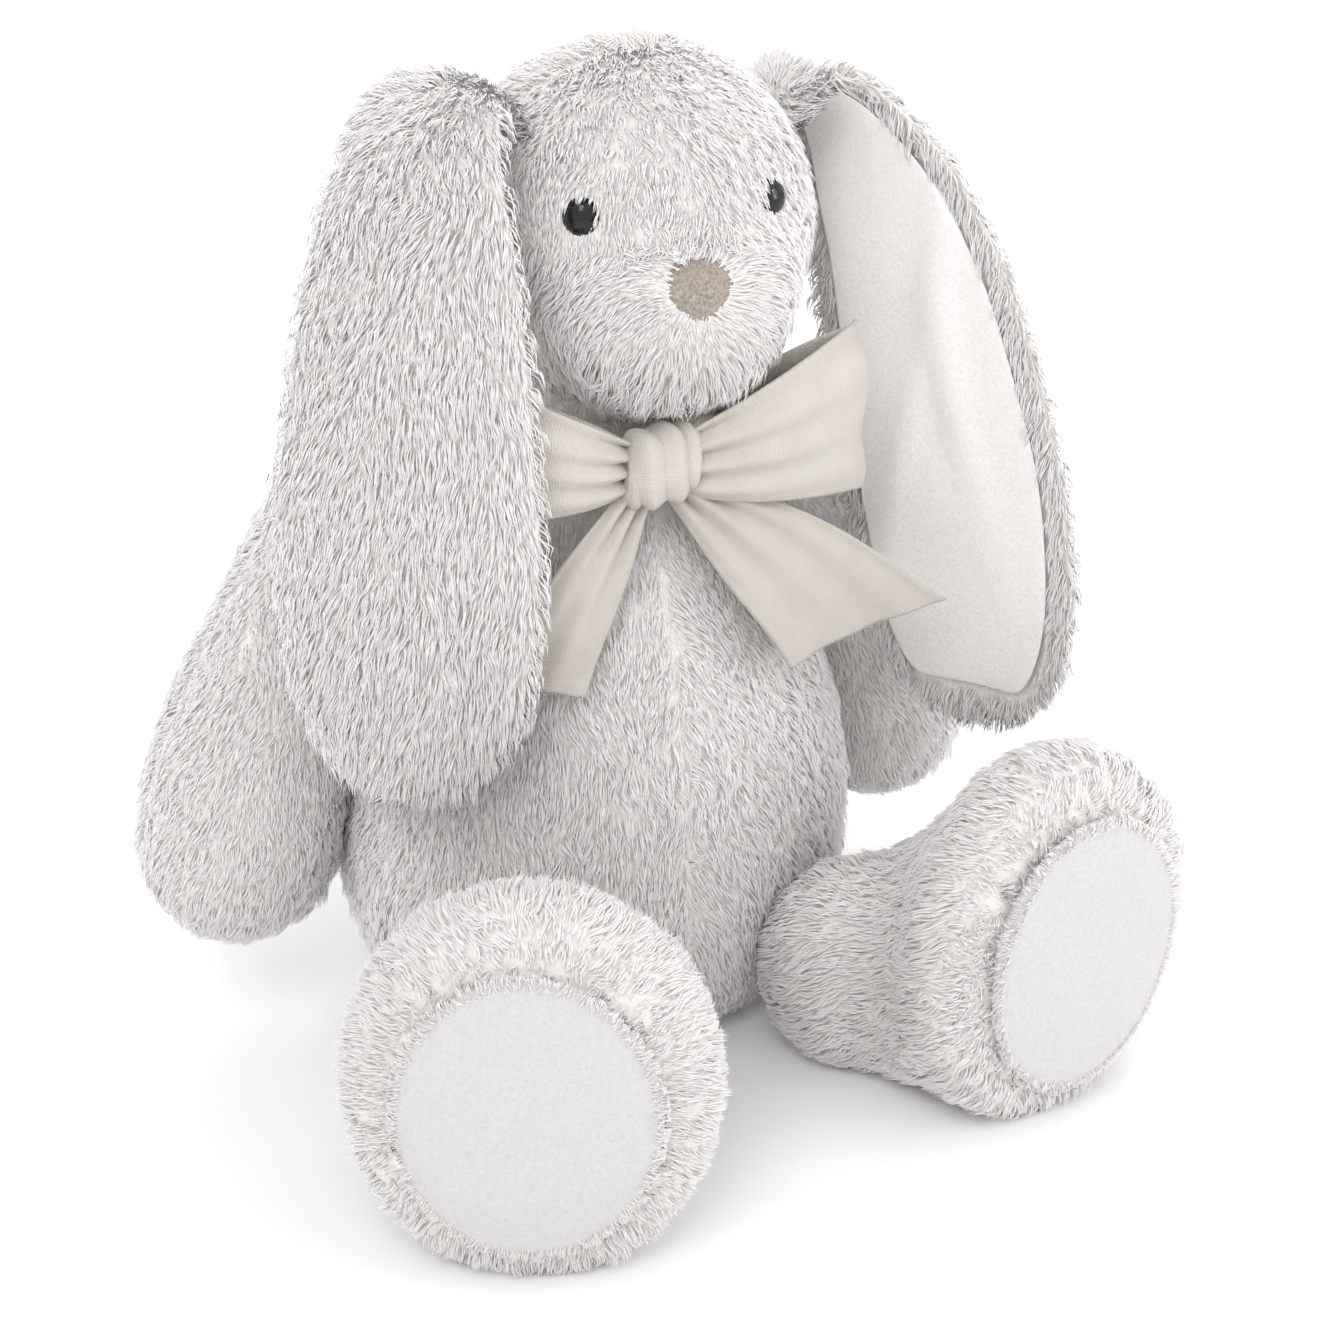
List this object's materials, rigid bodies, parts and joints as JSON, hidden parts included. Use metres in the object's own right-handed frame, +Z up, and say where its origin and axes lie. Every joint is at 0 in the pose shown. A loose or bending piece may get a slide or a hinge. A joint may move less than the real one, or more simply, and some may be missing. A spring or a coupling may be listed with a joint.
{
  "type": "stuffed bunny rabbit",
  "caption": "Sitting plush rabbit with long drop ears, stuffed limbs that swing at their seams and a tied ribbon bow.",
  "frame": {"origin": "centre of the flat seat under the body, on the surface that the rabbit sits on", "axes": "+Z up through the head, -Y the way the body faces, +X the rabbit's own left side"},
  "size_m": [0.2618, 0.2512, 0.2855],
  "materials": {
    "plush_fur": "long white pile, matt",
    "short_plush": "short smooth white pile",
    "ribbon_cotton": "cream plain weave",
    "nose_fabric": "beige looped pile",
    "eye_plastic": "polished black",
    "washer_plastic": "as moulded",
    "polyester_fill": "loose fibre",
    "pellet_cloth": "plain cloth bag",
    "label_satin": "blank satin"
  },
  "bodies": {
    "body": {"torso_cover": "plush_fur", "torso_stuffing": "polyester_fill", "pellet_bag": "pellet_cloth", "head_cover": "plush_fur", "head_stuffing": "polyester_fill", "eye_left": "eye_plastic", "eye_right": "eye_plastic", "eye_washer_left": "washer_plastic", "eye_washer_right": "washer_plastic", "nose": "nose_fabric", "bow_neck_band": "ribbon_cotton", "bow_knot": "ribbon_cotton", "bow_loop_left": "ribbon_cotton", "bow_loop_right": "ribbon_cotton", "bow_tail_left": "ribbon_cotton", "bow_tail_right": "ribbon_cotton", "tail_cover": "plush_fur", "tail_stuffing": "polyester_fill", "care_label": "label_satin"},
    "ear_right": {"ear_right_outer": "plush_fur", "ear_right_lining": "short_plush"},
    "ear_left": {"ear_left_outer": "plush_fur", "ear_left_lining": "short_plush"},
    "arm_right": {"arm_right_cover": "plush_fur", "arm_right_stuffing": "polyester_fill"},
    "arm_left": {"arm_left_cover": "plush_fur", "arm_left_stuffing": "polyester_fill"},
    "leg_right": {"leg_right_cover": "plush_fur", "leg_right_stuffing": "polyester_fill", "sole_right": "short_plush"},
    "leg_left": {"leg_left_cover": "plush_fur", "leg_left_stuffing": "polyester_fill", "sole_left": "short_plush"}
  },
  "joints": [
    {"name": "ear_right_lift", "type": "hinge", "parent": "body", "child": "ear_right", "pos_m": [-0.0365, -0.008, 0.27], "axis": [-0.7659, 0.6429, 0], "range_deg": [0, 75]},
    {"name": "ear_left_lift", "type": "hinge", "parent": "body", "child": "ear_left", "pos_m": [0.047, -0.008, 0.264], "axis": [-0.5, -0.866, 0], "range_deg": [0, 44]},
    {"name": "arm_right_raise", "type": "hinge", "parent": "body", "child": "arm_right", "pos_m": [-0.069, 0.023, 0.145], "axis": [0, 1, 0], "range_deg": [0, 70]},
    {"name": "arm_left_raise", "type": "hinge", "parent": "body", "child": "arm_left", "pos_m": [0.069, 0.023, 0.145], "axis": [0, -1, 0], "range_deg": [0, 70]},
    {"name": "leg_right_splay", "type": "hinge", "parent": "body", "child": "leg_right", "pos_m": [-0.048, -0.072, 0.028], "axis": [0, 0, -1], "range_deg": [-10, 25]},
    {"name": "leg_left_splay", "type": "hinge", "parent": "body", "child": "leg_left", "pos_m": [0.048, -0.072, 0.028], "axis": [0, 0, 1], "range_deg": [-8, 30]}
  ]
}
